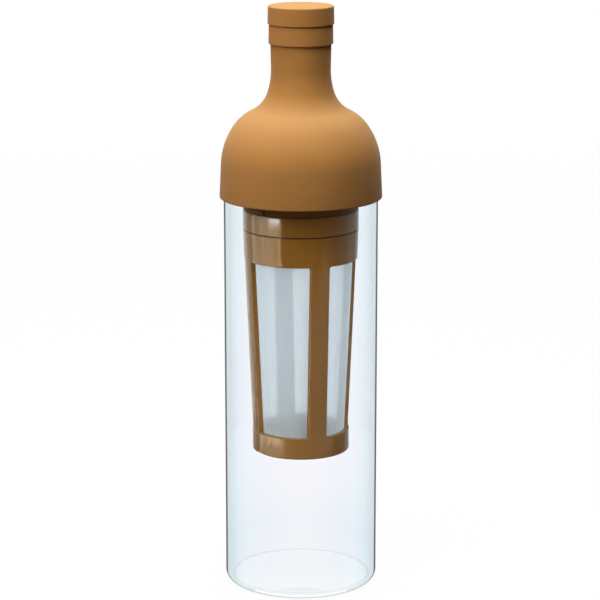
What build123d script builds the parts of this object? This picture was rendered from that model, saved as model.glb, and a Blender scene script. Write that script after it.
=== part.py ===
from build123d import *
import os
from math import atan2, cos, degrees, hypot, radians, sin

# Cold brew filter bottle: a straight glass bottle, a silicone spout that grips its rim, a silicone
# stopper, and a strainer that hangs inside on a twist-off bayonet under the spout.
#
# Millimetres. The origin is the centre of the plane that the bottle stands on, +Z is up, and -Y is
# the front. Sections are drawn as (radius, height) and revolved about Z. Angles round Z are in
# degrees from the front, towards +X.

# ---------------------------------------------------------------------- driving sizes

# Glass bottle
bottle_radius = 39.2
bottle_wall = 1.9
bottle_height = 216.0
heel_radius = 5.0            # outer corner between the wall and the base
heel_inner_radius = 2.0
base_thickness = 2.8
push_up = 1.4                # rise of the middle of the base above the ring that it stands on
foot_width = 2.0             # of the flat ring that it stands on, inside the heel
rim_rounding = 0.7

# Outside of the silicone spout: skirt, dome, neck and lip
spout_wall = 2.65
skirt_overlap = 13.0         # how far the skirt covers the glass
skirt_wall = 2.0             # at its lower edge
skirt_top_wall = 1.2         # where the dome starts
skirt_rise = 4.3             # from the rim of the glass to the start of the dome
skirt_rounding = 0.6
neck_radius = 15.05
neck_flare = 0.25            # how much wider the neck is under the lip
neck_length = 13.05
lip_height = 9.7
lip_projection = 1.0         # how far the lip stands out from the neck
lip_taper = 0.2
lip_chamfer = 0.3
lip_rounding = 0.4

# The dome's outline from the neck down is four arcs, each tangent to the next: two hollow, then
# two round. Each turn is the slope where its arc ends, in degrees from the vertical. The four
# radii are scaled together so that the outline always meets the skirt.
flare_radius, flare_turn = 37.3, 18.0
throat_radius, throat_turn = 16.1, 64.0
crown_radius, crown_turn = 23.6, 35.2
shoulder_radius = 35.9

# Inside of the silicone spout: plug ring in the bottle, web, and collar for the strainer holder
plug_depth = 10.0
plug_wall = 2.0
seal_rib_radius = 0.8
seal_rib_projection = 0.1
seal_rib_pitch = 4.0
web_drop = 4.0               # from the rim of the glass down to the top of the web
web_thickness = 2.5
collar_drop = 5.1            # how far the collar hangs below the skirt
collar_setback = 0.25        # how far the collar stands back from the ring below it

# Silicone stopper
cap_height = 9.1
cap_projection = 0.45        # how far the cap stands out from the top of the lip
cap_flare = 0.2              # how much wider the cap is at its lower edge
cap_rounding = 0.7
stopper_depth = 22.0
stopper_wall = 3.0
stopper_rib_count = 3
stopper_rib_radius = 1.0
stopper_rib_projection = 0.3
stopper_chamfer = 1.2        # at the lower end of the plug

# Strainer holder: a tube that passes through the collar, and the ring outside it
ring_radius = 29.5
ring_height = 10.4
ring_wall = 2.0
ring_rounding = 1.5
tube_wall = 1.8
tube_reach = 10.3            # how far the tube goes down into the strainer
bead_radius = 1.0            # retaining bead round the tube
bead_projection = 0.5
key_count = 2                # keys that stop the holder from turning in the collar
key_angle = -39.0
key_width = 1.8
key_height = 1.8
key_length = 2.2

# Strainer frame
strainer_length = 116.1
frame_setback = 0.05         # how far the mouth stands back from the ring above it
shoulder_setback = 0.5       # how far the frame draws in from the mouth to the top of the windows
frame_foot_radius = 24.95
mouth_wall = 2.1
foot_rise = 2.55             # how far the straight foot goes on above the window sills
foot_rounding = 0.7
floor_recess = 1.6           # how far the floor lies above the lower edge
floor_thickness = 1.8
rib_count = 4
rib_angle = 20.2             # of the front right rib, in degrees
rib_width = 9.8              # the same from top to bottom
rib_depth = 2.35             # how far the ribs stand out from the mesh
window_top_rounding = 1.4
window_sill_rounding = 0.8
window_edge_rounding = 0.3

# Strainer mesh, set flush in the inside of the frame
mesh_thickness = 0.4
mesh_grip = 3.0              # how far the mesh goes on above and below the windows
mesh_cover = 1.2             # frame above the upper end of the mesh
sill_cover = 4.5             # frame between the floor and the lower end of the mesh

# Bayonet between the holder and the strainer frame
bayonet_count = 3
ledge_width = 50.0           # degrees
ledge_depth = 1.6            # how far the ledges stand in from the mouth of the strainer
ledge_thickness = 2.0
ledge_drop = 2.45            # from the mouth down to the top of the ledges
lug_thickness = 2.0
stop_width = 6.0             # degrees

# Clearances
skirt_clearance = 0.15       # skirt outside the glass
plug_clearance = 0.25        # plug ring inside the glass
stopper_clearance = 0.5      # plug of the stopper in the neck, between its ribs
cap_gap = 0.3                # cap above the lip
collar_clearance = 0.15      # tube of the holder in the collar
web_clearance = 0.2          # end of the tube under the web
seat_gap = 0.1               # ring of the holder under the collar
key_clearance = 0.2          # key of the holder in its notch
bayonet_clearance = 0.3      # lugs inside the mouth, and tube inside the ledges
lug_play = 0.15              # lug under its ledge
stop_play = 0.5              # ledge beside its stop, in degrees
mouth_play = 1.0             # end of the tube above the floor of the mouth
seam_gap = 0.25              # mouth of the strainer under the ring
seam_rounding = 0.25         # the two edges at that seam

# ---------------------------------------------------------------------- radii and heights

bottle_bore = bottle_radius - bottle_wall
foot_radius = bottle_radius - heel_radius - foot_width

skirt_bore = bottle_radius + skirt_clearance
skirt_radius = skirt_bore + skirt_wall
skirt_bottom = bottle_height - skirt_overlap
dome_radius = skirt_bore + skirt_top_wall
dome_bottom = bottle_height + skirt_rise
skirt_draft = degrees(atan2(skirt_radius - dome_radius, dome_bottom - skirt_bottom))

# radius of each arc, and its slope at the start and at the end
dome_arcs = [
    (flare_radius, 0.0, flare_turn),
    (throat_radius, flare_turn, throat_turn),
    (crown_radius, throat_turn, crown_turn),
    (shoulder_radius, crown_turn, skirt_draft),
]
dome_run = sum(r * abs(cos(radians(b)) - cos(radians(a))) for r, a, b in dome_arcs)
dome_drop = sum(r * abs(sin(radians(b)) - sin(radians(a))) for r, a, b in dome_arcs)
dome_scale = (dome_radius - neck_radius) / dome_run

neck_bottom = dome_bottom + dome_scale * dome_drop
neck_top = neck_bottom + neck_length
neck_bore = neck_radius - spout_wall
lip_radius = neck_radius + neck_flare + lip_projection
lip_top = neck_top + lip_height
lip_top_radius = lip_radius - lip_taper

plug_radius = bottle_bore - plug_clearance
plug_bore = plug_radius - plug_wall
plug_bottom = bottle_height - plug_depth
web_top = bottle_height - web_drop
web_bottom = web_top - web_thickness

cap_bottom = lip_top + cap_gap
cap_top = cap_bottom + cap_height
cap_top_radius = lip_top_radius + cap_projection
stopper_radius = neck_bore - stopper_clearance
stopper_bore = stopper_radius - stopper_wall
stopper_bottom = cap_bottom - stopper_depth

collar_radius = ring_radius - collar_setback
collar_bottom = skirt_bottom - collar_drop
ring_top = collar_bottom - seat_gap
ring_bottom = ring_top - ring_height
strainer_top = ring_bottom - seam_gap
strainer_bottom = strainer_top - strainer_length

frame_top_radius = ring_radius - frame_setback
frame_shoulder_radius = frame_top_radius - shoulder_setback
mouth_radius = frame_top_radius - mouth_wall
ledge_radius = mouth_radius - ledge_depth
ledge_top = strainer_top - ledge_drop
ledge_bottom = ledge_top - ledge_thickness
lug_radius = mouth_radius - bayonet_clearance
lug_top = ledge_bottom - lug_play
lug_bottom = lug_top - lug_thickness
tube_radius = ledge_radius - bayonet_clearance
tube_bore = tube_radius - tube_wall
tube_root = tube_radius - tube_wall / 2      # middle of the tube's wall, where lugs and keys root
tube_top = web_bottom - web_clearance
tube_bottom = ring_bottom - tube_reach
collar_bore = tube_radius + collar_clearance
bead_centre = (tube_radius + bead_projection - bead_radius, (collar_bottom + web_bottom) / 2)

mouth_floor = tube_bottom - mouth_play
mesh_top = mouth_floor - mesh_cover
window_top = mesh_top - mesh_grip
floor_bottom = strainer_bottom + floor_recess
floor_top = floor_bottom + floor_thickness
mesh_bottom = floor_top + sill_cover
window_sill = mesh_bottom + mesh_grip
straight_top = window_sill + foot_rise
frame_wall = rib_depth + mesh_thickness


# ---------------------------------------------------------------------- helpers


def dome_outline(start, inset):
    """Draw the dome's arcs down from start, set in from the outer surface, and return the end."""
    point = start
    for radius, slope, end_slope in dome_arcs:
        turn = end_slope - slope
        heading = (sin(radians(slope)), -cos(radians(slope)))
        offset = inset if turn > 0 else -inset
        arc = JernArc(point, heading, dome_scale * radius + offset, turn)
        point = arc @ 1
    return point


def cone_radius(height):
    """Return the outer radius of the strainer frame, below its shoulder and carried on above."""
    share = (height - straight_top) / (window_top - straight_top)
    return frame_foot_radius + max(share, 0) * (frame_shoulder_radius - frame_foot_radius)


def ring_face(inner, outer, bottom, top, mode=Mode.ADD):
    """Draw the section of a ring."""
    with Locations(((inner + outer) / 2, (bottom + top) / 2)):
        Rectangle(outer - inner, top - bottom, mode=mode)


def corner(section, radius, height):
    """Return the vertex of a section that lies nearest to a point."""
    return section.vertices().sort_by_distance((radius, height))[0]


def upright_plane(angle):
    """Return the plane of a section that stands at an angle round Z."""
    outward = (sin(radians(angle)), -cos(radians(angle)), 0)
    return Plane(origin=(0, 0, 0), x_dir=outward, z_dir=(outward[1], -outward[0], 0))


def ring_sector(start, width, inner, outer, bottom, top):
    """Add the part of a ring that spans some degrees round Z from a start angle."""
    with BuildSketch(upright_plane(start)) as section:
        ring_face(inner, outer, bottom, top)
    revolve(section.sketch, axis=Axis.Z, revolution_arc=width)


def radial_block(angle, width, inner, outer, bottom, top, mode=Mode.ADD):
    """Add or cut a straight block that points out from Z at an angle."""
    with BuildSketch(upright_plane(angle)) as section:
        ring_face(inner, outer, bottom, top)
    extrude(section.sketch, amount=width / 2, both=True, mode=mode)


# ---------------------------------------------------------------------- glass bottle

with BuildPart() as glass_bottle:
    with BuildSketch(Plane.XZ) as section:
        with BuildLine():
            underside = TangentArc((0, push_up), (foot_radius, 0), tangent=(1, 0))
            inside = TangentArc(
                (0, base_thickness + push_up), (foot_radius, base_thickness), tangent=(1, 0)
            )
            Polyline(
                underside @ 1,
                (bottle_radius, 0),
                (bottle_radius, bottle_height),
                (bottle_bore, bottle_height),
                (bottle_bore, base_thickness),
                inside @ 1,
            )
            Line(inside @ 0, underside @ 0)
        make_face()
        fillet(corner(section, bottle_radius, 0), heel_radius)
        fillet(corner(section, bottle_bore, base_thickness), heel_inner_radius)
        fillet(corner(section, bottle_radius, bottle_height), rim_rounding)
        fillet(corner(section, bottle_bore, bottle_height), rim_rounding)
    revolve(axis=Axis.Z)
glass_bottle.part.label = "glass_bottle"

# ---------------------------------------------------------------------- silicone spout

with BuildPart() as silicone_spout:
    with BuildSketch(Plane.XZ) as section:
        # the outside, filled
        with BuildLine():
            lip = Polyline(
                (0, lip_top),
                (lip_top_radius, lip_top),
                (lip_radius, neck_top),
                (neck_radius + neck_flare, neck_top),
                (neck_radius, neck_bottom),
            )
            skirt_start = dome_outline(lip @ 1, 0)
            Polyline(skirt_start, (skirt_radius, skirt_bottom), (0, skirt_bottom), lip @ 0)
        make_face()
        fillet(corner(section, lip_top_radius, lip_top), lip_rounding)
        chamfer(corner(section, lip_radius, neck_top), lip_chamfer)
        fillet(corner(section, skirt_radius, skirt_bottom), skirt_rounding)
        # room inside the skirt
        ring_face(0, skirt_bore, skirt_bottom, bottle_height, mode=Mode.SUBTRACT)
        # hollow of the neck and the dome, above the web and inside the plug ring
        with BuildSketch(mode=Mode.SUBTRACT):
            with BuildLine():
                bore = Polyline((0, lip_top), (neck_bore, lip_top), (neck_bore, neck_bottom))
                hollow_end = dome_outline(bore @ 1, spout_wall)
                Polyline(hollow_end, (hollow_end.X, web_top), (0, web_top), bore @ 0)
            make_face()
            ring_face(plug_bore, skirt_radius, web_top, lip_top, mode=Mode.SUBTRACT)
        fillet(corner(section, neck_bore, lip_top), lip_rounding)
        # plug ring with its fine sealing ribs, web and collar
        ring_face(plug_bore, plug_radius, plug_bottom, bottle_height)
        for step in (-0.5, 0.5):
            rib_height = (plug_bottom + bottle_height) / 2 + step * seal_rib_pitch
            with Locations((plug_radius + seal_rib_projection - seal_rib_radius, rib_height)):
                Circle(seal_rib_radius)
        ring_face(tube_bore + web_clearance, plug_bore, web_bottom, web_top)
        ring_face(collar_bore, collar_radius, collar_bottom, web_bottom)
        with Locations(bead_centre):
            Circle(bead_radius + collar_clearance, mode=Mode.SUBTRACT)
    revolve(axis=Axis.Z)
    # notches for the keys of the strainer holder
    for number in range(key_count):
        radial_block(
            key_angle + number * 360 / key_count,
            key_width + 2 * key_clearance,
            tube_root,
            collar_radius + key_clearance,
            collar_bottom - key_clearance,
            ring_top + key_height + key_clearance,
            mode=Mode.SUBTRACT,
        )
silicone_spout.part.label = "silicone_spout"

# ---------------------------------------------------------------------- stopper

with BuildPart() as stopper:
    with BuildSketch(Plane.XZ) as section:
        with BuildLine():
            Polyline(
                (0, cap_top),
                (cap_top_radius, cap_top),
                (cap_top_radius + cap_flare, cap_bottom),
                (stopper_radius, cap_bottom),
                (stopper_radius, stopper_bottom),
                (stopper_bore, stopper_bottom),
                (stopper_bore, cap_bottom),
                (0, cap_bottom),
                close=True,
            )
        make_face()
        fillet(corner(section, cap_top_radius, cap_top), cap_rounding)
        fillet(corner(section, stopper_bore, cap_bottom), stopper_wall)
        chamfer(corner(section, stopper_radius, stopper_bottom), stopper_chamfer)
        for number in range(stopper_rib_count):
            rib_height = cap_bottom - stopper_depth * (number + 1) / (stopper_rib_count + 1)
            rib_centre = stopper_radius + stopper_rib_projection - stopper_rib_radius
            with Locations((rib_centre, rib_height)):
                Circle(stopper_rib_radius)
    revolve(axis=Axis.Z)
stopper.part.label = "stopper"

# ---------------------------------------------------------------------- strainer holder

with BuildPart() as strainer_holder:
    with BuildSketch(Plane.XZ) as section:
        ring_face(tube_root, ring_radius, ring_bottom, ring_top)
        ring_face(
            tube_root, ring_radius - ring_wall, ring_bottom, ring_top - ring_wall, mode=Mode.SUBTRACT
        )
        fillet(corner(section, ring_radius, ring_top), ring_rounding)
        fillet(corner(section, ring_radius, ring_bottom), seam_rounding)
        ring_face(tube_bore, tube_radius, tube_bottom, tube_top)
        with Locations(bead_centre):
            Circle(bead_radius)
    revolve(axis=Axis.Z)
    # bayonet lugs, each with a stop on its end that the ledge meets in the locked place
    for number in range(bayonet_count):
        stop_start = number * 360 / bayonet_count - ledge_width / 2 - stop_play - stop_width
        lug_width = stop_width + stop_play + ledge_width
        ring_sector(stop_start, lug_width, tube_root, lug_radius, lug_bottom, lug_top)
        ring_sector(stop_start, stop_width, tube_root, lug_radius, lug_bottom, ledge_top)
    for number in range(key_count):
        radial_block(
            key_angle + number * 360 / key_count,
            key_width,
            tube_root,
            tube_radius + key_length,
            ring_top - ring_wall / 2,
            ring_top + key_height,
        )
strainer_holder.part.label = "strainer_holder"

# ---------------------------------------------------------------------- strainer mesh

with BuildPart() as strainer_mesh:
    with BuildSketch(Plane.XZ):
        with BuildLine():
            mesh_top_radius = cone_radius(mesh_top) - rib_depth
            mesh_foot_radius = cone_radius(mesh_bottom) - rib_depth
            mesh_bend_radius = cone_radius(straight_top) - rib_depth
            Polyline(
                (mesh_foot_radius, mesh_bottom),
                (mesh_bend_radius, straight_top),
                (mesh_top_radius, mesh_top),
                (mesh_top_radius - mesh_thickness, mesh_top),
                (mesh_bend_radius - mesh_thickness, straight_top),
                (mesh_foot_radius - mesh_thickness, mesh_bottom),
                close=True,
            )
        make_face()
    revolve(axis=Axis.Z)
strainer_mesh.part.label = "strainer_mesh"

# ---------------------------------------------------------------------- strainer frame

with BuildPart() as window_cutter:
    cutter_inner = frame_foot_radius / 2
    cutter_outer = frame_top_radius * 1.5
    ring_sector(rib_angle, 360 / rib_count, cutter_inner, cutter_outer, window_sill, window_top)
    for angle in (rib_angle, rib_angle + 360 / rib_count):
        radial_block(angle, rib_width, 0, cutter_outer, window_sill, window_top, mode=Mode.SUBTRACT)
    radial_edges = window_cutter.edges().filter_by(GeomType.LINE).filter_by(Axis.Z, reverse=True)
    fillet(radial_edges.group_by(Axis.Z)[-1], window_top_rounding)
    radial_edges = window_cutter.edges().filter_by(GeomType.LINE).filter_by(Axis.Z, reverse=True)
    fillet(radial_edges.group_by(Axis.Z)[0], window_sill_rounding)

with BuildPart() as strainer_frame:
    with BuildSketch(Plane.XZ) as section:
        with BuildLine():
            inner_foot = frame_foot_radius - frame_wall
            Polyline(
                (0, floor_bottom),
                (inner_foot, floor_bottom),
                (inner_foot, strainer_bottom),
                (frame_foot_radius, strainer_bottom),
                (frame_foot_radius, straight_top),
                (frame_shoulder_radius, window_top),
                (frame_top_radius, strainer_top),
                (mouth_radius, strainer_top),
                (mouth_radius, mouth_floor),
                (cone_radius(mouth_floor) - frame_wall, mouth_floor),
                (inner_foot, straight_top),
                (inner_foot, floor_top),
                (0, floor_top),
                close=True,
            )
        make_face()
        fillet(corner(section, frame_top_radius, strainer_top), seam_rounding)
        fillet(corner(section, frame_foot_radius, strainer_bottom), foot_rounding)
    revolve(axis=Axis.Z)
    # room for the mesh
    add(strainer_mesh.part, mode=Mode.SUBTRACT)
    # windows, with their outer edges rounded
    with PolarLocations(0, rib_count):
        add(window_cutter.part, mode=Mode.SUBTRACT)
    window_edges = strainer_frame.edges().filter_by(
        lambda edge: window_sill - 0.1 < edge.center().Z < window_top + 0.1
        and hypot(edge.center().X, edge.center().Y) > cone_radius(edge.center().Z) - 0.1
    )
    fillet(window_edges, window_edge_rounding)
    # bayonet ledges round the mouth
    for number in range(bayonet_count):
        ledge_start = number * 360 / bayonet_count - ledge_width / 2
        ledge_root = mouth_radius + mouth_wall / 2
        ring_sector(ledge_start, ledge_width, ledge_radius, ledge_root, ledge_bottom, ledge_top)
strainer_frame.part.label = "strainer_frame"

# ---------------------------------------------------------------------- files

os.makedirs("parts", exist_ok=True)
for piece in (
    glass_bottle,
    silicone_spout,
    stopper,
    strainer_holder,
    strainer_frame,
    strainer_mesh,
):
    export_step(piece.part, f"parts/{piece.part.label}.step")
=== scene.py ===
"""Looks of the cold brew filter bottle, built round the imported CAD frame.

Every size is in metres, in the frame of the CAD model: +Z up, the front towards -Y, the origin in
the middle of the plane that the bottle stands on. Sections are lists of (radius, height) points
that lathe() turns round Z. A piece is one closed mesh, or several that overlap: the holder with its
lugs, stops and keys, and the frame with its ledges.
"""

from math import asin, atan2, ceil, cos, degrees, hypot, pi, radians, sin, sqrt

import bmesh
import bpy
from mathutils import Matrix, Vector


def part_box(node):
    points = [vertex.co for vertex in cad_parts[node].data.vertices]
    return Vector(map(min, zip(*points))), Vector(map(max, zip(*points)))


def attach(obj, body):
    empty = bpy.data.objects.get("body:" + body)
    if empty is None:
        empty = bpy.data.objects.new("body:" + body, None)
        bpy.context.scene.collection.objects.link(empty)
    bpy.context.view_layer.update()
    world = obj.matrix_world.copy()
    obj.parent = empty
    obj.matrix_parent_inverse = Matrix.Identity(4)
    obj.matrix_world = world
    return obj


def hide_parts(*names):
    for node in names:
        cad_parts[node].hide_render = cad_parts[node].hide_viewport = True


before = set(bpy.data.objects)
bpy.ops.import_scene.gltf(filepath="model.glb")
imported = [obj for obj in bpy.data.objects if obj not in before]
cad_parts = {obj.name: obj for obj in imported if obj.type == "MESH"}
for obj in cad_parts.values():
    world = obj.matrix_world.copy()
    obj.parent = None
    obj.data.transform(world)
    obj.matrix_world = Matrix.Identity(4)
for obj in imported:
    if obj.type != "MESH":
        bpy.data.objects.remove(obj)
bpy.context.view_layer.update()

MM = 0.001
SEGMENTS = 192               # round the axis


# ---------------------------------------------------------------------- sizes

spout_low, spout_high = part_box("silicone_spout")
stopper_low, stopper_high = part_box("stopper")
holder_low, holder_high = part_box("strainer_holder")
frame_low, frame_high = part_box("strainer_frame")
mesh_low, mesh_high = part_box("strainer_mesh")

# glass bottle
glass_radius = 39.2 * MM
glass_wall = 1.9 * MM
glass_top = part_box("glass_bottle")[1].z
glass_bore = glass_radius - glass_wall
heel_rounding = 5.0 * MM
inner_heel_rounding = 2.0 * MM
rim_rounding = 0.7 * MM
base_thickness = 2.8 * MM
push_up = 1.4 * MM
inner_line_radius = 35.2 * MM
foot_ring_radius = 32.2 * MM
outer_skin = 0.5 * MM        # a surface deeper than this under the outer one is on the inside
wall_step = 3.0 * MM         # longest face along the wall

# unevenness of the glass's tall wall, as sines round and along it: size, turns, radians per metre, phase
glass_waves = [(1.0, 2, 37, 0.6), (0.6, 3, -61, 2.1), (0.5, 5, 23, 4.0)]
outer_wave_depth = 0.02 * MM
inner_wave_depth = 0.045 * MM
wave_margin = 0.1 * MM       # surfaces further in than this past the bore stay true
wave_bottom = 12 * MM
wave_bottom_fade = 25 * MM
wave_top = 196 * MM
wave_top_fade = 20 * MM

# silicone spout
skirt_bottom = 203.0 * MM
skirt_radius = 41.35 * MM
skirt_bore = 39.35 * MM
skirt_rounding = 0.6 * MM
dome_bottom = 220.3 * MM
dome_radius = 40.55 * MM
spout_wall = 2.65 * MM
neck_radius = 15.05 * MM
neck_bore = neck_radius - spout_wall
neck_flare = 0.25 * MM
neck_length = 13.05 * MM
lip_height = 9.7 * MM
lip_top = spout_high.z
lip_radius = 16.3 * MM
lip_top_radius = 16.1 * MM
lip_chamfer = 0.3 * MM
lip_rounding = 0.4 * MM
neck_top = lip_top - lip_height
neck_bottom = neck_top - neck_length
plug_radius = 37.05 * MM
plug_bore = 35.05 * MM
plug_bottom = 206.0 * MM
web_top = 212.0 * MM
web_bottom = 209.5 * MM
web_hole_radius = 23.85 * MM
collar_radius = 29.25 * MM
collar_bore = 25.6 * MM
collar_bottom = spout_low.z
notch_width = 2.2 * MM
notch_depth = 2.0 * MM
notch_reach = 1.0 * MM       # points of the collar this near its bottom are raised in a notch
notch_side = 0.01            # half of what a notch's steep side spans, in degrees
notch_clearance = 0.3        # degrees to each hand of a notch's side without other points
# radius of each arc of the dome from the neck down, and its slope at the start and at the end,
# in degrees from the vertical
dome_arcs = [
    (37.3 * MM, 0.0, 18.0),
    (16.1 * MM, 18.0, 64.0),
    (23.6 * MM, 64.0, 35.2),
    (35.9 * MM, 35.2, degrees(atan2(skirt_radius - dome_radius, dome_bottom - skirt_bottom))),
]

# stopper
cap_bottom = lip_top + 0.3 * MM
cap_top = stopper_high.z
cap_radius = stopper_high.x
cap_top_radius = cap_radius - 0.2 * MM
cap_rounding = 0.7 * MM
stopper_radius = 11.9 * MM
stopper_bore = 8.9 * MM
stopper_bottom = stopper_low.z
stopper_rib_radius = 1.0 * MM
stopper_rib_projection = 0.3 * MM
stopper_chamfer = 1.2 * MM

# strainer holder
key_angles = (-39, 141)      # degrees from the front towards +X
key_width = 1.8 * MM
key_height = 1.8 * MM
key_length = 2.2 * MM
ring_radius = holder_high.x
ring_top = 197.8 * MM
ring_bottom = 187.4 * MM
ring_wall = 2.0 * MM
ring_rounding = 1.0 * MM
tube_radius = 25.45 * MM
tube_bore = 23.65 * MM
tube_root = (tube_radius + tube_bore) / 2
tube_bottom = holder_low.z
tube_top = holder_high.z
bead_radius = 1.0 * MM
bead_projection = 0.5 * MM
seam_rounding = 0.35 * MM

# strainer frame and mesh
frame_bottom = frame_low.z
frame_top = frame_high.z
frame_top_radius = 29.45 * MM
frame_shoulder_radius = 28.95 * MM
frame_foot_radius = 24.95 * MM
frame_wall = 2.75 * MM
mouth_radius = 27.35 * MM
mouth_floor = 176.1 * MM
floor_bottom = 72.65 * MM
floor_top = 74.45 * MM
foot_rounding = 0.7 * MM
straight_top = 84.5 * MM
window_top = 171.9 * MM
window_sill = 81.95 * MM
window_top_rounding = 1.4 * MM
window_sill_rounding = 0.8 * MM
window_edge_rounding = 0.3 * MM
# how far the loops that hold a window's edges crisp lie from them
front_support = 0.25 * MM
side_support = 0.3 * MM
back_support = 0.2 * MM
inside_support = 0.3 * MM
rib_count = 4
rib_angle = 20.2             # of the front right rib, in degrees
rib_width = 9.8 * MM
rib_depth = 2.35 * MM
mesh_bottom = mesh_low.z
mesh_top = mesh_high.z
mesh_clearance = 0.05 * MM
mesh_step = 6.0 * MM         # longest face along the cloth

# bayonet: lugs on the holder's tube, each with a stop at one end, under ledges in the frame's mouth
bayonet_count = 3
ledge_width = 50.0           # degrees
ledge_depth = 1.6 * MM
ledge_root = 1.0 * MM        # how far a ledge reaches into the frame's wall
ledge_top = 184.7 * MM
ledge_bottom = 182.7 * MM
lug_radius = 27.05 * MM
lug_top = 182.55 * MM
lug_bottom = 180.55 * MM
stop_width = 6.0             # degrees
stop_play = 0.5              # degrees


# ---------------------------------------------------------------------- outlines and meshes


def rounded(corners, steps=8):
    """Turn (radius, height, rounding) corners into the points of a closed outline."""
    points = []
    for index, (radius, height, rounding) in enumerate(corners):
        here = Vector((radius, height))
        if not rounding:
            points.append(here)
            continue
        back = (Vector(corners[index - 1][:2]) - here).normalized()
        ahead = (Vector(corners[(index + 1) % len(corners)][:2]) - here).normalized()
        half = back.angle(ahead) / 2
        centre = here + (back + ahead).normalized() * rounding / sin(half)
        start = here + back * rounding / (sin(half) / cos(half)) - centre
        turn = start.angle_signed(here + ahead * rounding / (sin(half) / cos(half)) - centre)
        points += [centre + turned(start, -turn * step / steps) for step in range(steps + 1)]
    return points


def turned(vector, angle):
    """Turn a flat vector anticlockwise by an angle in radians."""
    return Matrix.Rotation(angle, 2) @ vector


def circle_points(centre, radius, start, end, steps):
    """Points on a circle from one angle to another, in degrees anticlockwise from the +radius side."""
    angles = [radians(start + (end - start) * step / steps) for step in range(steps + 1)]
    return [Vector((centre[0] + radius * cos(a), centre[1] + radius * sin(a))) for a in angles]


def dome(inset, steps=14):
    """Points of the dome's outline from the neck down, set in from its outer surface."""
    run = sum(r * abs(cos(radians(b)) - cos(radians(a))) for r, a, b in dome_arcs)
    scale = (dome_radius - neck_radius) / run
    point = Vector((neck_radius - inset, neck_bottom))
    points = [point]
    for radius, slope, end_slope in dome_arcs:
        side = 1 if end_slope > slope else -1
        reach = scale * radius + side * inset
        across = Vector((cos(radians(slope)), sin(radians(slope)))) * side
        centre = point + across * reach
        for step in range(1, steps + 1):
            turn = radians((end_slope - slope) * step / steps)
            points.append(centre + turned(point - centre, turn))
        point = points[-1]
    return points


def supported(outline, gap=0.35 * MM, longest=None, closed=True):
    """Add a point near each end of every long side, and split sides longer than a length."""
    points = []
    for here, ahead in zip(outline, outline[1:] + outline[:1] if closed else outline[1:]):
        side = ahead - here
        points.append(here)
        if side.length > 3 * gap:
            inner_start = here + side.normalized() * gap
            inner_end = ahead - side.normalized() * gap
            pieces = ceil((inner_end - inner_start).length / longest) if longest else 1
            points += [inner_start.lerp(inner_end, k / pieces) for k in range(pieces + 1)]
    return points if closed else points + outline[-1:]


def around(radius, angle, height):
    """The point at a radius and height, at an angle in degrees from the front towards +X."""
    return Vector((radius * sin(radians(angle)), -radius * cos(radians(angle)), height))


def lathe(outline, angles=None, closed=True):
    """Vertices and faces of an outline turned round Z. A point on the axis becomes one vertex."""
    angles = angles or [360 * k / SEGMENTS for k in range(SEGMENTS)]
    vertices, rings = [], []
    for radius, height in outline:
        on_axis = radius < 0.001 * MM
        ring = [around(radius, a, height) for a in (angles[:1] if on_axis else angles)]
        rings.append(range(len(vertices), len(vertices) + len(ring)))
        vertices += ring
    faces = []
    pairs = list(zip(rings, rings[1:] + rings[:1])) if closed else list(zip(rings, rings[1:]))
    for low, high in pairs:
        for k in range(len(angles)):
            ahead = (k + 1) % len(angles)
            corners = [low[k % len(low)], low[ahead % len(low)], high[ahead % len(high)], high[k % len(high)]]
            corners = list(dict.fromkeys(corners))
            if len(corners) > 2:
                faces.append(corners)
    return vertices, faces


def sector(start, width, inner, outer, bottom, top, steps=24):
    """Vertices and faces of the part of a ring that spans some degrees from a start angle."""
    vertices, faces = [], []
    section = [(inner, bottom), (outer, bottom), (outer, top), (inner, top)]
    for step in range(steps + 1):
        vertices += [around(r, start + width * step / steps, z) for r, z in section]
    for step in range(steps):
        low, high = 4 * step, 4 * step + 4
        faces += [[low + k, low + (k + 1) % 4, high + (k + 1) % 4, high + k] for k in range(4)]
    last = 4 * steps
    faces += [[3, 2, 1, 0], [last, last + 1, last + 2, last + 3]]
    return vertices, faces


def combined(*parts):
    """One list of vertices and one of faces from several such pairs."""
    vertices, faces = [], []
    for part_vertices, part_faces in parts:
        base = len(vertices)
        vertices += part_vertices
        faces += [[base + k for k in face] for face in part_faces]
    return vertices, faces


def make_piece(name, geometry, material, node, body, sharp=35):
    """Make a piece that stands for a CAD node and rides with its body."""
    mesh = bpy.data.meshes.new(name)
    mesh.from_pydata([tuple(v) for v in geometry[0]], [], geometry[1])
    work = bmesh.new()
    work.from_mesh(mesh)
    bmesh.ops.remove_doubles(work, verts=work.verts, dist=0.0005 * MM)
    bmesh.ops.recalc_face_normals(work, faces=work.faces)
    work.to_mesh(mesh)
    work.free()
    mesh.polygons.foreach_set("use_smooth", [True] * len(mesh.polygons))
    mesh.set_sharp_from_angle(angle=radians(sharp))
    mesh.materials.append(material)
    piece = bpy.data.objects.new(name, mesh)
    bpy.context.scene.collection.objects.link(piece)
    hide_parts(node)
    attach(piece, body)
    return piece


# ---------------------------------------------------------------------- materials


def new_material(name):
    """A material with an empty node tree, and the Tree that fills it."""
    material = bpy.data.materials.new(name)
    material.use_nodes = True
    material.node_tree.nodes.clear()
    return material, Tree(material.node_tree)


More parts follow.
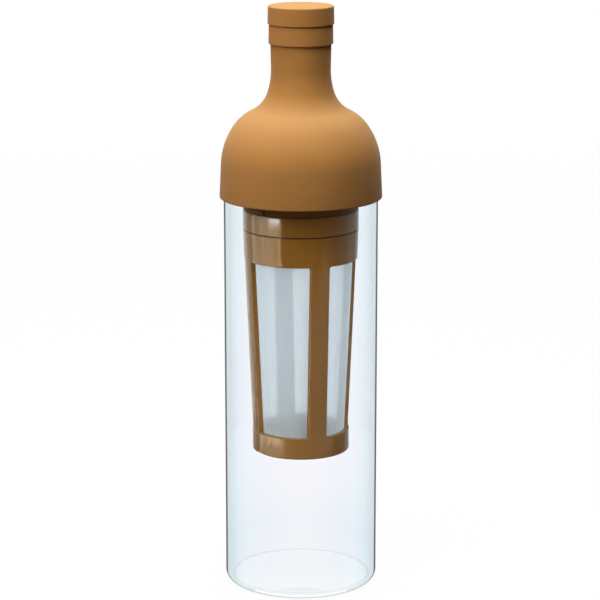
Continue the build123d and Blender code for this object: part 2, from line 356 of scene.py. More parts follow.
class Tree:
    """Adds nodes to a node tree and links them."""

    def __init__(self, tree):
        self.tree = tree

    def add(self, kind, values=None, **settings):
        """Add a node, set its properties, and set or link its inputs by name or number."""
        node = self.tree.nodes.new(kind)
        for key, value in settings.items():
            setattr(node, key, value)
        for key, value in (values or {}).items():
            if isinstance(value, bpy.types.NodeSocket):
                self.tree.links.new(value, node.inputs[key])
            else:
                node.inputs[key].default_value = value
        return node

    def math(self, operation, first, second=0.0):
        """The output of a Math node."""
        return self.add("ShaderNodeMath", {0: first, 1: second}, operation=operation).outputs[0]

    def place(self):
        """The place in the object's own space."""
        return self.add("ShaderNodeTexCoord").outputs["Object"]

    def parts(self, vector):
        """The three parts of a vector."""
        return self.add("ShaderNodeSeparateXYZ", {0: vector}).outputs

    def upward(self):
        """How far the surface faces up, from -1 to 1."""
        return self.parts(self.add("ShaderNodeNewGeometry").outputs["Normal"])[2]

    def noise(self, vector, scale, detail=2.0, roughness=0.5):
        """The value of a noise texture, from about 0.2 to 0.8."""
        values = {"Vector": vector, "Scale": scale, "Detail": detail, "Roughness": roughness}
        return self.add("ShaderNodeTexNoise", values).outputs["Fac"]

    def spread(self, value, low, high, to_low, to_high):
        """Map a value from one range to another, held at both ends."""
        values = {"Value": value, "From Min": low, "From Max": high, "To Min": to_low, "To Max": to_high}
        return self.add("ShaderNodeMapRange", values).outputs["Result"]

    def mix(self, share, first, second, blend="MIX"):
        """A mix of two colours."""
        values = {0: share, 6: first, 7: second}
        return self.add("ShaderNodeMix", values, data_type="RGBA", blend_type=blend).outputs[2]

    def product(self, first, second):
        """Two colours multiplied."""
        return self.mix(1.0, first, second, "MULTIPLY")

    def bump(self, height, distance, strength=1.0):
        """The normal of a bump of a real height in metres."""
        values = {"Height": height, "Distance": distance, "Strength": strength}
        return self.add("ShaderNodeBump", values).outputs["Normal"]

    def output(self, surface):
        """The material output."""
        return self.add("ShaderNodeOutputMaterial", {"Surface": surface})


def silicone_material():
    """Matte moulded silicone: a soft even colour, faint mottling and a very fine grain, with a painted sheen
    that makes faces pointing up paler.
    """
    material, tree = new_material("silicone")
    place = tree.place()
    mottle = tree.spread(tree.noise(place, 45.0, 3.0), 0.3, 0.7, 0.0, 1.0)
    plain = tree.mix(mottle, (0.575, 0.260, 0.068, 1), (0.600, 0.276, 0.076, 1))
    # painted sheen: faces that point up are painted paler, for the light from overhead
    painted_top_sheen = tree.mix(mottle, (0.575, 0.300, 0.106, 1), (0.595, 0.316, 0.118, 1))
    colour = tree.mix(tree.spread(tree.upward(), 0.25, 0.85, 0.0, 1.0), plain, painted_top_sheen)
    grain = tree.noise(place, 3200.0, 2.0, 0.6)
    roughness = tree.spread(tree.noise(place, 420.0, 3.0), 0.3, 0.7, 0.58, 0.68)
    shader = tree.add("ShaderNodeBsdfPrincipled", {
        "Base Color": colour,
        "Roughness": roughness,
        "IOR": 1.41,
        "Specular IOR Level": 0.01,
        "Sheen Weight": 0.2,
        "Sheen Roughness": 0.45,
        "Sheen Tint": (1.0, 0.95, 0.85, 1),
        "Normal": tree.bump(grain, 0.010 * MM),
    })
    tree.output(shader.outputs[0])
    return material


def plastic_material():
    """Satin moulded polypropylene: glossier than the silicone, with faint flow marks, a painted shadow along
    the seam and painted shade on faces that point up.
    """
    material, tree = new_material("moulded_plastic")
    place = tree.place()
    flow = tree.add("ShaderNodeMapping", {"Vector": place, "Scale": (60.0, 60.0, 9.0)}).outputs[0]
    marks = tree.spread(tree.noise(flow, 1.0, 4.0), 0.3, 0.7, 0.0, 1.0)
    plain = tree.mix(marks, (0.415, 0.172, 0.019, 1), (0.433, 0.182, 0.022, 1))
    # painted shade and reflection: faces that point up are painted a darker grey-brown
    colour = tree.mix(tree.spread(tree.upward(), 0.45, 0.85, 0.0, 1.0), plain, (0.22, 0.14, 0.05, 1))
    # painted shadow: a near-black band along the seam between the holder's ring and the frame's top
    seam_height = (ring_bottom + frame_top) / 2
    off_seam = tree.math("ABSOLUTE", tree.math("SUBTRACT", tree.parts(place)[2], seam_height))
    shadow = tree.spread(off_seam, 0.2 * MM, 0.5 * MM, 0.85, 0.0)
    colour = tree.mix(shadow, colour, (0.05, 0.015, 0.004, 1))
    roughness = tree.spread(tree.noise(place, 300.0, 3.0), 0.3, 0.7, 0.10, 0.14)
    texture = tree.noise(place, 1500.0, 2.0, 0.5)
    shader = tree.add("ShaderNodeBsdfPrincipled", {
        "Base Color": colour,
        "Roughness": roughness,
        "IOR": 1.49,
        "Specular IOR Level": 0.06,
        "Normal": tree.bump(texture, 0.003 * MM),
    })
    tree.output(shader.outputs[0])
    return material


def mesh_material():
    """Fine woven polyester, pale and see-through: threads crossing round and along the strainer."""
    material, tree = new_material("mesh")
    place = tree.place()
    across = tree.parts(place)
    angle = tree.math("ARCTAN2", across[1], across[0])
    threads_round = 1100.0
    thread_pitch = 0.14 * MM
    warp = tree.math("SINE", tree.math("MULTIPLY", angle, threads_round))
    weft = tree.math("SINE", tree.math("MULTIPLY", across[2], 2 * pi / thread_pitch))
    weave = tree.spread(tree.math("MAXIMUM", warp, weft), -0.4, 0.8, 0.0, 1.0)
    uneven = tree.noise(place, 70.0, 3.0)
    threads_cover = tree.spread(weave, 0.0, 1.0, 0.15, 0.62)
    cover = tree.math("MULTIPLY", threads_cover, tree.spread(uneven, 0.3, 0.7, 0.98, 1.02))
    colour = tree.mix(uneven, (0.78, 0.885, 0.925, 1), (0.82, 0.915, 0.955, 1))
    bounced = tree.add("ShaderNodeLightPath").outputs["Is Diffuse Ray"]
    colour = tree.mix(bounced, colour, (0.2, 0.22, 0.23, 1))
    normal = tree.bump(weave, 0.02 * MM, 0.5)
    front = tree.add("ShaderNodeBsdfDiffuse", {"Color": colour, "Normal": normal})
    through = tree.add("ShaderNodeBsdfPrincipled", {
        "Base Color": colour,
        "Roughness": 0.9,
        "IOR": 1.4,
        "Transmission Weight": 1.0,
        "Specular Tint": (0.0, 0.0, 0.0, 1),
        "Normal": normal,
    })
    threads = tree.add("ShaderNodeMixShader", {0: 0.65, 1: front.outputs[0], 2: through.outputs[0]})
    gap = tree.add("ShaderNodeBsdfTransparent", {"Color": (1, 1, 1, 1)})
    cloth = tree.add("ShaderNodeMixShader", {0: cover, 1: gap.outputs[0], 2: threads.outputs[0]})
    tree.output(cloth.outputs[0])
    return material


# the glass's colour from where it faces the eye (0) to where it is seen edge on (1): partly its own green
# through the thickness, partly a painted reflection that darkens it towards the edges
glass_tints = [
    (0.0, (0.95, 0.94, 0.965)),
    (0.14, (0.89, 0.905, 0.968)),
    (0.33, (0.835, 0.92, 0.953)),
    (0.46, (0.728, 0.846, 0.906)),
    (0.56, (0.583, 0.735, 0.787)),
    (0.65, (0.46, 0.608, 0.644)),
    (0.75, (0.36, 0.46, 0.49)),
]
# painted shade: the tint the glass is given near the bottom
painted_low_shade_tint = (0.89, 0.94, 0.955)


def glass_shader(tree, colour):
    """Clear glass. Lamps, soft light and what other pieces reflect pass straight through its walls."""
    solid = tree.add("ShaderNodeBsdfPrincipled", {
        "Base Color": colour,
        "Roughness": 0.0,
        "IOR": 1.474,
        "Transmission Weight": 1.0,
        "Specular Tint": (0.015, 0.015, 0.015, 1),
    })
    clear = tree.add("ShaderNodeBsdfTransparent", {"Color": (0.97, 0.98, 0.985, 1)})
    path = tree.add("ShaderNodeLightPath").outputs
    passing = tree.math("MAXIMUM", path["Is Shadow Ray"], path["Is Diffuse Ray"])
    reflected = tree.math("SUBTRACT", path["Is Glossy Ray"], path["Is Transmission Ray"])
    passing = tree.math("MAXIMUM", passing, reflected)
    mixed = tree.add("ShaderNodeMixShader", {0: passing, 1: solid.outputs[0], 2: clear.outputs[0]})
    return mixed.outputs[0]


def inner_glass_material():
    """The inside and the underside of the glass, clear but for a painted grey line round the inner heel,
    standing in for the dark edge the heel shows through the glass.
    """
    material, tree = new_material("glass_inside")
    place = tree.place()
    height = tree.parts(place)[2]
    flat = tree.add("ShaderNodeVectorMath", {0: place, 1: (1, 1, 0)}, operation="MULTIPLY").outputs[0]
    radius = tree.add("ShaderNodeVectorMath", {0: flat}, operation="LENGTH").outputs["Value"]
    # painted shade: a grey line at the foot of the inner heel, for the dark edge seen there through the glass
    off_line = tree.math("ABSOLUTE", tree.math("SUBTRACT", radius, inner_line_radius))
    line = tree.spread(off_line, 0.2 * MM, 0.9 * MM, 1.0, 0.0)
    line = tree.math("MULTIPLY", line, tree.spread(height, 2.0 * MM, 2.6 * MM, 0.0, 1.0))
    line = tree.math("MULTIPLY", line, tree.spread(height, 5.0 * MM, 6.0 * MM, 1.0, 0.0))
    tree.output(glass_shader(tree, tree.mix(line, (1, 1, 1, 1), (0.68, 0.72, 0.74, 1))))
    return material


def outer_glass_material():
    """The outside of the glass: faintly blue, greener towards its edges (its own tint deepened by painted
    reflection), painted deeper low down as painted shade, and painted dark right at its edges as a painted
    reflection of dark surroundings.
    """
    material, tree = new_material("glass")
    facing = tree.add("ShaderNodeLayerWeight", {"Blend": 0.5}).outputs["Facing"]
    tint = tree.add("ShaderNodeValToRGB", {0: facing})
    stops = tint.color_ramp.elements
    for position, colour in glass_tints[1:-1]:
        stops.new(position)
    for stop, (position, colour) in zip(stops, glass_tints):
        stop.position = position
        stop.color = (*colour, 1)
    place = tree.place()
    height = tree.parts(place)[2]
    # painted shade: the tint deepens below 60 mm up the glass, most from 20 mm to 10 mm, and eases off at the
    # very bottom
    low = tree.math("MULTIPLY", tree.spread(height, 10 * MM, 60 * MM, 1.0, 0.0),
                    tree.spread(height, 6 * MM, 20 * MM, 0.2, 1.0))
    low_shade_painted = tree.mix(low, (1, 1, 1, 1), (*painted_low_shade_tint, 1))
    glass = glass_shader(tree, tree.product(tint.outputs[0], low_shade_painted))
    # painted reflection: near-black where the glass is seen edge on, for dark surroundings mirrored in it;
    # weaker at the very bottom
    dark = tree.add("ShaderNodeBsdfDiffuse", {"Color": (0.03, 0.07, 0.08, 1)})
    edge = tree.spread(facing, 0.77, 0.83, 0.0, 0.85)
    edge = tree.math("MULTIPLY", edge, tree.spread(height, 0.5 * MM, 4 * MM, 0.45, 1.0))
    mixed = tree.add("ShaderNodeMixShader", {0: edge, 1: glass, 2: dark.outputs[0]})
    tree.output(mixed.outputs[0])
    return material


silicone = silicone_material()
plastic = plastic_material()
mesh_cloth = mesh_material()
glass = outer_glass_material()
inner_glass = inner_glass_material()


# ---------------------------------------------------------------------- glass bottle


def shallow_arc(rise, radius, height, steps=10):
    """Points from the axis out to a radius, along an arc that starts level and falls by the rise."""
    bend = (radius**2 + rise**2) / (2 * rise)
    distances = [radius * step / steps for step in range(steps + 1)]
    return [Vector((r, height + rise - bend + sqrt(bend**2 - r**2))) for r in distances]


def bottle_outline():
    """The bottle's section, from the middle of the underside round to the middle of the inside."""
    wall = rounded([
        (foot_ring_radius, 0, 0),
        (glass_radius, 0, heel_rounding),
        (glass_radius, glass_top, rim_rounding),
        (glass_bore, glass_top, rim_rounding),
        (glass_bore, base_thickness, inner_heel_rounding),
        (foot_ring_radius, base_thickness, 0),
    ], steps=12)
    underside = shallow_arc(push_up, foot_ring_radius, 0)
    inside = shallow_arc(push_up, foot_ring_radius, base_thickness)
    return underside[:-1] + supported(wall, longest=wall_step, closed=False) + inside[-2::-1]


def wavy(vertices):
    """Give the tall wall the faint unevenness of drawn glass. The rim and the heel stay true."""
    largest_wave = sum(size for size, turns, along_wall, phase in glass_waves)
    for vertex in vertices:
        radius = hypot(vertex.x, vertex.y)
        fade_up = min(1, max(0, (vertex.z - wave_bottom) / wave_bottom_fade))
        fade = fade_up * min(1, max(0, (wave_top - vertex.z) / wave_top_fade))
        if radius < glass_bore - wave_margin or not fade:
            continue
        angle = atan2(vertex.y, vertex.x)
        wave = sum(size * sin(turns * angle + along_wall * vertex.z + phase)
                   for size, turns, along_wall, phase in glass_waves)
        depth = inner_wave_depth if radius < glass_radius - outer_skin else outer_wave_depth
        share = 1 - fade * depth * (1 + wave / largest_wave) / radius
        vertex.x *= share
        vertex.y *= share


def is_outside(radius, height):
    """Whether a point on the bottle's surface is on its outside."""
    off_heel_centre = hypot(radius - glass_radius + heel_rounding, height - heel_rounding)
    past_heel = off_heel_centre > heel_rounding - outer_skin
    return (radius > (glass_radius + glass_bore) / 2
            or radius > glass_radius - heel_rounding and height < heel_rounding and past_heel)


def make_bottle():
    """The bottle, with one glass material outside and another inside and underneath."""
    vertices, faces = lathe(bottle_outline(), closed=False)
    wavy(vertices)
    piece = make_piece("bottle_glass", (vertices, faces), glass, "glass_bottle", "bottle")
    piece.data.materials.append(inner_glass)
    for polygon in piece.data.polygons:
        middle = polygon.center
        polygon.material_index = 0 if is_outside(hypot(middle.x, middle.y), middle.z) else 1


# ---------------------------------------------------------------------- silicone spout and stopper


def spout_outline():
    """The spout's section: lip, neck, dome and skirt outside; plug ring, web and collar inside."""
    crossing = next(k for k, p in enumerate(dome(spout_wall)) if p.x > plug_bore)
    hollow = dome(spout_wall)[:crossing]
    lip = rounded([
        (neck_bore, neck_top, 0),
        (neck_bore, lip_top, lip_rounding),
        (lip_top_radius, lip_top, lip_rounding),
        (lip_radius, neck_top + lip_chamfer, 0.15 * MM),
        (lip_radius - lip_chamfer, neck_top, 0.15 * MM),
        (neck_radius + neck_flare, neck_top, 0),
    ])[1:]
    outside = dome(0)
    skirt = rounded([
        (outside[-1].x, outside[-1].y, 0),
        (skirt_radius, skirt_bottom, skirt_rounding),
        (skirt_bore, skirt_bottom, 0.2 * MM),
        (skirt_bore, glass_top, 0),
        (plug_radius, glass_top, 0),
        (plug_radius, plug_bottom, 0.3 * MM),
        (plug_bore, plug_bottom, 0.3 * MM),
        (plug_bore, web_bottom, 0.3 * MM),
        (collar_radius, web_bottom, 0.3 * MM),
        (collar_radius, collar_bottom, 0.2 * MM),
        (collar_bore, collar_bottom, 0.2 * MM),
        (collar_bore, web_bottom, 0),
        (web_hole_radius, web_bottom, 0.2 * MM),
        (web_hole_radius, web_top, 0.2 * MM),
        (plug_bore, web_top, 0.4 * MM),
        (plug_bore, hollow[-1].y, 0),
    ], steps=5)[1:]
    return lip + supported(outside, closed=False) + supported(skirt, closed=False) + hollow[::-1]


def stopper_outline():
    """The stopper's section, from the middle of its top round to the middle of its hollow."""
    cap = rounded([
        (0, cap_top, 0),
        (cap_top_radius, cap_top, cap_rounding),
        (cap_radius, cap_bottom, 0.15 * MM),
        (stopper_radius, cap_bottom, 0.3 * MM),
    ])
    depth = cap_bottom - stopper_bottom
    reach = stopper_rib_radius - stopper_rib_projection
    half_height = degrees(atan2(sqrt(stopper_rib_radius**2 - reach**2), reach))
    ribs = []
    for number in (1, 2, 3):
        centre = (stopper_radius - reach, cap_bottom - depth * number / 4)
        ribs += circle_points(centre, stopper_rib_radius, half_height, -half_height, 8)
    end = rounded([
        (stopper_radius, stopper_bottom + stopper_chamfer, 0.2 * MM),
        (stopper_radius - stopper_chamfer, stopper_bottom, 0.2 * MM),
        (stopper_bore, stopper_bottom, 0.2 * MM),
        (stopper_bore, cap_bottom, 3 * MM),
        (0, cap_bottom, 0),
    ])
    return supported(cap, closed=False) + ribs + supported(end, closed=False)


def make_silicone():
    """The spout, with two notches in the bottom of its collar for the holder's keys, and the stopper."""
    half_notch = degrees(notch_width / 2 / collar_radius)
    edges = [key + edge + turn for key in key_angles for edge in (-half_notch, half_notch)
             for turn in (-notch_side, notch_side)]
    even = [360 * k / SEGMENTS - 180 for k in range(SEGMENTS)]
    kept = [a for a in even if min(abs(a - edge) for edge in edges) > notch_clearance]
    vertices, faces = lathe(spout_outline(), sorted(kept + edges))
    for vertex in vertices:
        angle = degrees(atan2(vertex.x, -vertex.y))
        off_key = min(abs(angle - key) for key in key_angles)
        if vertex.z < collar_bottom + notch_reach and off_key < half_notch:
            vertex.z += notch_depth
    make_piece("spout", (vertices, faces), silicone, "silicone_spout", "head")
    plug = lathe(stopper_outline(), closed=False)
    make_piece("stopper_plug", plug, silicone, "stopper", "stopper")


# ---------------------------------------------------------------------- strainer

glossy_pieces = bpy.data.collections.new("glossy_pieces")
mesh_pieces = bpy.data.collections.new("mesh_pieces")


def holder_outline():
    """The holder's section: a ring hollow underneath, and the tube that runs through it."""
    corner_steps = 10
    reach = bead_radius - bead_projection
    bead = (tube_radius - reach, (collar_bottom + web_bottom) / 2)
    half_height = degrees(atan2(sqrt(bead_radius**2 - reach**2), reach))
    ring = rounded([
        (tube_radius, tube_top, 0.3 * MM),
        (tube_radius, ring_top, 0),
        (ring_radius, ring_top, ring_rounding),
        (ring_radius, ring_bottom, seam_rounding),
        (ring_radius - ring_wall, ring_bottom, 0.1 * MM),
        (ring_radius - ring_wall, ring_top - ring_wall, 0.5 * MM),
        (tube_radius, ring_top - ring_wall, 0.5 * MM),
        (tube_radius, tube_bottom, 0.3 * MM),
        (tube_bore, tube_bottom, 0.3 * MM),
        (tube_bore, tube_top, 0.3 * MM),
    ], steps=corner_steps)
    first_wall_point = corner_steps + 1
    bulge = circle_points(bead, bead_radius, half_height, -half_height, 8)
    return supported(ring[:first_wall_point] + bulge + ring[first_wall_point:])


def make_holder():
    """The holder with its bayonet lugs, their stops and the two keys."""
    parts = [lathe(holder_outline())]
    for number in range(bayonet_count):
        start = 360 / bayonet_count * number - ledge_width / 2 - stop_play - stop_width
        width = stop_width + stop_play + ledge_width
        parts.append(sector(start, width, tube_root, lug_radius, lug_bottom, lug_top))
        parts.append(sector(start, stop_width, tube_root, lug_radius, lug_bottom, ledge_top))
    half_key = degrees(key_width / 2 / (tube_radius + key_length / 2))
    for angle in key_angles:
        parts.append(sector(angle - half_key, 2 * half_key, tube_root, tube_radius + key_length,
                            ring_top - ring_wall / 2, ring_top + key_height, steps=2))
    piece = make_piece("holder", combined(*parts), plastic, "strainer_holder", "head")
    glossy_pieces.objects.link(piece)


def outer_radius(height):
    """The outside of the strainer frame: a straight foot, then two cones."""
    if height < straight_top:
        return frame_foot_radius
    if height < window_top:
        share = (height - straight_top) / (window_top - straight_top)
        return frame_foot_radius + share * (frame_shoulder_radius - frame_foot_radius)
    share = (height - window_top) / (frame_top - window_top)
    return frame_shoulder_radius + share * (frame_top_radius - frame_shoulder_radius)


across_count, up_count, corner_count, edge_steps = 26, 44, 8, 5
half_pitch = 180 / rib_count
window_angles = [rib_angle + half_pitch + 360 / rib_count * k for k in range(rib_count)]
# a window's corners from its lower left, anticlockwise: side, height, rounding, angle at which the
# rounding starts, height of the patch's own corner, and steps along the straight side that follows
window_corners = [
    (-1, window_sill, window_sill_rounding, pi, mesh_bottom, across_count),
    (1, window_sill, window_sill_rounding, -pi / 2, mesh_bottom, up_count),
    (1, window_top, window_top_rounding, 0, mesh_top, across_count),
    (-1, window_top, window_top_rounding, pi / 2, mesh_top, up_count),
]


def half_window(radius):
    """Half the angle that a window spans at a radius, between ribs of constant width."""
    return half_pitch - degrees(asin(rib_width / 2 / radius))


def along(first, second, share):
    """The point at a share of the way from one (angle, height) point to another."""
    return first[0] + (second[0] - first[0]) * share, first[1] + (second[1] - first[1]) * share


def all_along(first, second, share):
    """The points at a share of the way from each point of one loop to its partner in another."""
    return [along(a, b, share) for a, b in zip(first, second)]


def corner_point(number, grow, share):
    """The (angle, height) point at a share of the rounding of a window's corner."""
    side, height, rounding, start_angle, patch_height, steps = window_corners[number]
    per_length = degrees(1 / outer_radius(height))
    inward = rounding if height == window_sill else -rounding
    centre_angle = side * (half_window(outer_radius(height)) - rounding * per_length)
    turn = start_angle + pi / 2 * share
    reach = rounding + grow
    return centre_angle + reach * cos(turn) * per_length, height + inward + reach * sin(turn)


def window_loop(grow):
    """(angle, height) points round a window that is larger by some length on each side."""
    loop = []
    for number, corner in enumerate(window_corners):
        steps = corner[-1]
        loop += [corner_point(number, grow, step / corner_count) for step in range(corner_count + 1)]
        last, target = loop[-1], corner_point((number + 1) % len(window_corners), grow, 0)
        loop += [along(last, target, step / steps) for step in range(1, steps)]
    return loop


def patch_edge():
    """(angle, height) points round the patch that holds a window, one for each point of its loop."""
    loop = window_loop(0)
    edge = list(loop)
    half = corner_count // 2
    start = 0
    for number, (side, height, rounding, start_angle, patch_height, steps) in enumerate(window_corners):
        corner = (side * half_pitch, patch_height)
        first, last = loop[start], loop[start + corner_count]
        level_after = number % 2 == 0
        came = (corner[0], first[1]) if level_after else (first[0], corner[1])
        goes = (last[0], corner[1]) if level_after else (corner[0], last[1])
        for step in range(half + 1):
            edge[start + step] = along(came, corner, step / half)
        for step in range(1, half + 1):
            edge[start + half + step] = along(corner, goes, step / half)
        for step in range(1, steps):
            here = start + corner_count + step
            angle, level = loop[here]
            edge[here] = (angle, patch_height) if level_after else (side * half_pitch, level)
        start += corner_count + steps
    return edge


def window_patch(centre_angle):
    """Vertices and faces of the wall round a window: outside, rounded edge, sides and inside."""
    def inset(loop, depth):
        """The loop at some depth in the wall. The ribs' sides stay parallel, so its angles close in."""
        radii = [outer_radius(z) for a, z in loop]
        return [(a * half_window(r - depth) / half_window(r), z) for (a, z), r in zip(loop, radii)]

    edge = patch_edge()
    near = window_loop(window_edge_rounding + front_support)
    rows = [(all_along(edge, near, share), 0) for share in (0, 0.25, 0.5, 0.75, 0.92)]
    rows.append((near, 0))
    for step in range(edge_steps + 1):
        turn = pi / 2 * step / edge_steps
        grow = window_edge_rounding * (1 - sin(turn))
        depth = window_edge_rounding * (1 - cos(turn))
        rows.append((inset(window_loop(grow), depth), depth))
    for depth in (window_edge_rounding + side_support, rib_depth - back_support, rib_depth):
        rows.append((inset(window_loop(0), depth), depth))
    wide = inset(window_loop(inside_support), rib_depth)
    rows += [(all_along(edge, wide, share), rib_depth) for share in (1, 0.6, 0.3, 0)]
    vertices, faces = [], []
    count = len(edge)
    for points, depth in rows:
        vertices += [around(outer_radius(z) - depth, centre_angle + a, z) for a, z in points]
    for row in range(len(rows) - 1):
        low, high = row * count, (row + 1) * count
        for k in range(count):
            ahead = (k + 1) % count
            faces.append([low + k, low + ahead, high + ahead, high + k])
    return vertices, faces


def patch_angles(height):
    """The angles round the frame at which the windows' patches have points at a height."""
    own = sorted({round(a, 6) for a, z in patch_edge() if z == height} - {-half_pitch})
    return [centre + a for centre in window_angles for a in own]


def make_frame():
    """The basket: windows between ribs, the mouth with its bayonet ledges, and the foot."""
    inner_foot = frame_foot_radius - frame_wall
    mouth = rounded([
        (outer_radius(mesh_top), mesh_top, 0),
        (frame_top_radius, frame_top, seam_rounding),
        (mouth_radius, frame_top, 0.15 * MM),
        (mouth_radius, mouth_floor, 0.2 * MM),
        (outer_radius(mesh_top) - frame_wall, mouth_floor, 0.2 * MM),
        (outer_radius(mesh_top) - frame_wall, mesh_top, 0),
        (outer_radius(mesh_top) - rib_depth, mesh_top, 0),
    ])
    foot = rounded([
        (frame_foot_radius - rib_depth, mesh_bottom, 0),
        (inner_foot, mesh_bottom, 0),
        (inner_foot, floor_top, 0.5 * MM),
        (0, floor_top, 0),
        (0, floor_bottom, 0),
        (inner_foot, floor_bottom, 0.4 * MM),
        (inner_foot, frame_bottom, 0.3 * MM),
        (frame_foot_radius, frame_bottom, foot_rounding),
        (frame_foot_radius, mesh_bottom, 0),
    ])
    parts = [window_patch(centre) for centre in window_angles]
    parts.append(lathe(supported(mouth, closed=False), patch_angles(mesh_top), closed=False))
    parts.append(lathe(supported(foot, closed=False), patch_angles(mesh_bottom), closed=False))
    for number in range(bayonet_count):
        start = 360 / bayonet_count * number - ledge_width / 2
        parts.append(sector(start, ledge_width, mouth_radius - ledge_depth, mouth_radius + ledge_root,
                            ledge_bottom, ledge_top))
    piece = make_piece("frame", combined(*parts), plastic, "strainer_frame", "strainer")
    glossy_pieces.objects.link(piece)


def make_mesh():
    """The cloth, a thin closed tube that runs inside the ribs."""
    outer = rib_depth + mesh_clearance
    inner = frame_wall - mesh_clearance
    heights = [mesh_bottom + mesh_clearance, straight_top, window_top, mesh_top - mesh_clearance]
    up = [Vector((outer_radius(z) - outer, z)) for z in heights]
    down = [Vector((outer_radius(z) - inner, z)) for z in reversed(heights)]
    cloth = lathe(supported(up + down, longest=mesh_step))
    piece = make_piece("mesh_cloth", cloth, mesh_cloth, "strainer_mesh", "strainer")
    mesh_pieces.objects.link(piece)


# ---------------------------------------------------------------------- studio

camera_height = 434.6 * MM
camera_distance = 1222.0 * MM
camera_pitch = 13.156          # degrees down
camera_shift_left = 0.45 * MM
focal_pixels = 2445.8          # on a picture 600 pixels wide
picture_width = 600


def make_camera():
    """The camera at the photograph's viewing angle."""
    data = bpy.data.cameras.new("camera")
    data.sensor_width = 36
    data.lens = focal_pixels / picture_width * data.sensor_width
    camera = bpy.data.objects.new("camera", data)
    camera.location = (-camera_shift_left, -camera_distance, camera_height)
    camera.rotation_euler = (radians(90 - camera_pitch), 0, 0)
    bpy.context.scene.collection.objects.link(camera)
    bpy.context.scene.camera = camera


def seen_directly(tree):
    """1 for camera, glossy and transmission rays, 0 for the rays that light surfaces."""
    path = tree.add("ShaderNodeLightPath").outputs
    seen = tree.math("MAXIMUM", path["Is Camera Ray"], path["Is Glossy Ray"])
    return tree.math("MAXIMUM", seen, path["Is Transmission Ray"])


def make_world(ambient):
    """White where it is seen. As a light it is soft and low."""
    world = bpy.data.worlds.new("studio")
    bpy.context.scene.world = world
    world.use_nodes = True
    world.node_tree.nodes.clear()
    tree = Tree(world.node_tree)
    soft = tree.add("ShaderNodeBackground", {"Color": (1, 1, 1, 1), "Strength": ambient})
    white = tree.add("ShaderNodeBackground", {"Color": (1, 1, 1, 1), "Strength": 1.0})
    mixed = tree.add("ShaderNodeMixShader", {0: seen_directly(tree), 1: soft.outputs[0], 2: white.outputs[0]})
    tree.add("ShaderNodeOutputWorld", {"Surface": mixed.outputs[0]})


def make_floor():
    """A wide white floor that throws little light up. Its own white keeps the shadow on it faint."""
    material, tree = new_material("floor")
    bounce = tree.add("ShaderNodeLightPath").outputs["Is Diffuse Ray"]
    colour = tree.mix(bounce, (0.9, 0.9, 0.9, 1), (0.08, 0.08, 0.08, 1))
    lit = tree.add("ShaderNodeBsdfDiffuse", {"Color": colour})
    white = tree.add("ShaderNodeEmission", {"Color": (1, 1, 1, 1), "Strength": 1.0})
    place = tree.place()
    away = tree.add("ShaderNodeVectorMath", {0: place}, operation="LENGTH").outputs["Value"]
    share = tree.math("MULTIPLY", seen_directly(tree), tree.spread(away, 0.3, 1.5, 0.95, 1.0))
    mixed = tree.add("ShaderNodeMixShader", {0: share, 1: lit.outputs[0], 2: white.outputs[0]})
    tree.output(mixed.outputs[0])
    half = 12.0
    corners = [(-half, -half, 0), (half, -half, 0), (half, half, 0), (-half, half, 0)]
    mesh = bpy.data.meshes.new("floor")
    mesh.from_pydata(corners, [], [(0, 1, 2, 3)])
    mesh.materials.append(material)
    floor = bpy.data.objects.new("floor", mesh)
    bpy.context.scene.collection.objects.link(floor)


def make_softbox(name, place, target, width, height, power, gloss_only=False, lit=None, colour=(1, 1, 1)):
    """A rectangular soft lamp that faces a point and isn't seen by the camera.

    With gloss_only it shows in reflections alone. With lit it reaches only that collection's pieces.
    """
    data = bpy.data.lights.new(name, "AREA")
    data.shape = "RECTANGLE"
    data.size, data.size_y = width, height
    data.energy = power
    data.color = colour
    lamp = bpy.data.objects.new(name, data)
    lamp.location = place
    lamp.rotation_euler = (Vector(target) - Vector(place)).to_track_quat("-Z", "Y").to_euler()
    lamp.visible_camera = False
    lamp.visible_diffuse = not gloss_only
    lamp.visible_transmission = not gloss_only
    bpy.context.scene.collection.objects.link(lamp)
    if lit:
        lamp.light_linking.receiver_collection = lit


make_bottle()
make_silicone()
make_holder()
make_frame()
make_mesh()

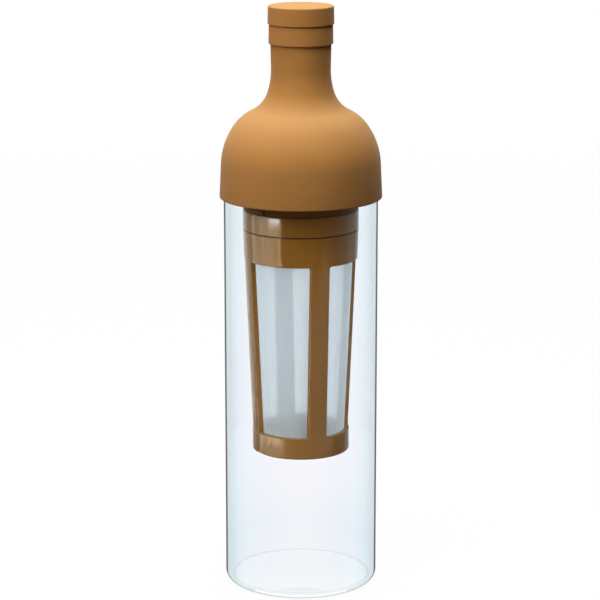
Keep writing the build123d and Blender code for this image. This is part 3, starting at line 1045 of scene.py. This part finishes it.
make_camera()
make_world(ambient=0.015)
make_floor()
middle = (0, 0, 0.18)
warm = (1.0, 0.95, 0.72)

# name, place, point it faces, width, height, power in watts
room_lamps = [
    ("overhead", (0, 0, 1.33), middle, 1.1, 1.7, 24.5),
    ("high_left", (-0.69, -0.62, 0.856), middle, 0.7, 0.7, 5.2),
]
plastic_lamp = ("front_right", (0.5, -0.866, 0.76), middle, 0.6, 0.6, 2.1)
mesh_lamps = [
    ("mesh_front", (0.0, -1.0, 0.4), middle, 2.0, 0.6, 7.4),
    ("mesh_left", (-0.85, -0.5, 0.3), middle, 0.8, 0.6, 10.0),
    ("mesh_right", (0.90, -0.25, 0.45), middle, 0.8, 0.6, 13.0),
]
warm_reflections = [
    ("left_low", (-0.236, -0.131, 0.10), (0, 0, 0.10), 0.229, 0.19, 3.4),
    ("left_side", (-0.2685, 0.028, 0.10), (0, 0, 0.10), 0.115, 0.19, 0.8),
    ("left_back", (-0.210, 0.170, 0.10), (0, 0, 0.10), 0.207, 0.19, 0.17),
    ("left_foot", (-0.234, -0.130, 0.028), (0, 0, 0.028), 0.229, 0.05, 0.6),
    ("left_floor", (-0.20, -0.06, 0.002), (-0.20, -0.06, 1.0), 0.3, 0.3, 3.0),
]
white_reflections = [
    ("right_low", (0.261, -0.020, 0.10), (0, 0, 0.10), 0.36, 0.19, 0.2),
    ("front_floor", (0.12, -0.25, 0.002), (0.12, -0.25, 1.0), 0.8, 0.4, 5.5),
    ("glint", (-0.0465, -0.0510, 0.1885), (-0.0132, -0.0264, 0.1970), 0.020, 0.004, 0.17),
]
for lamp in room_lamps:
    make_softbox(*lamp)
make_softbox(*plastic_lamp, lit=glossy_pieces)
for lamp in mesh_lamps:
    make_softbox(*lamp, lit=mesh_pieces)
for lamp in warm_reflections:
    make_softbox(*lamp, gloss_only=True, lit=glossy_pieces, colour=warm)
for lamp in white_reflections:
    make_softbox(*lamp, gloss_only=True, lit=glossy_pieces)

bpy.context.scene.view_settings.view_transform = "Standard"
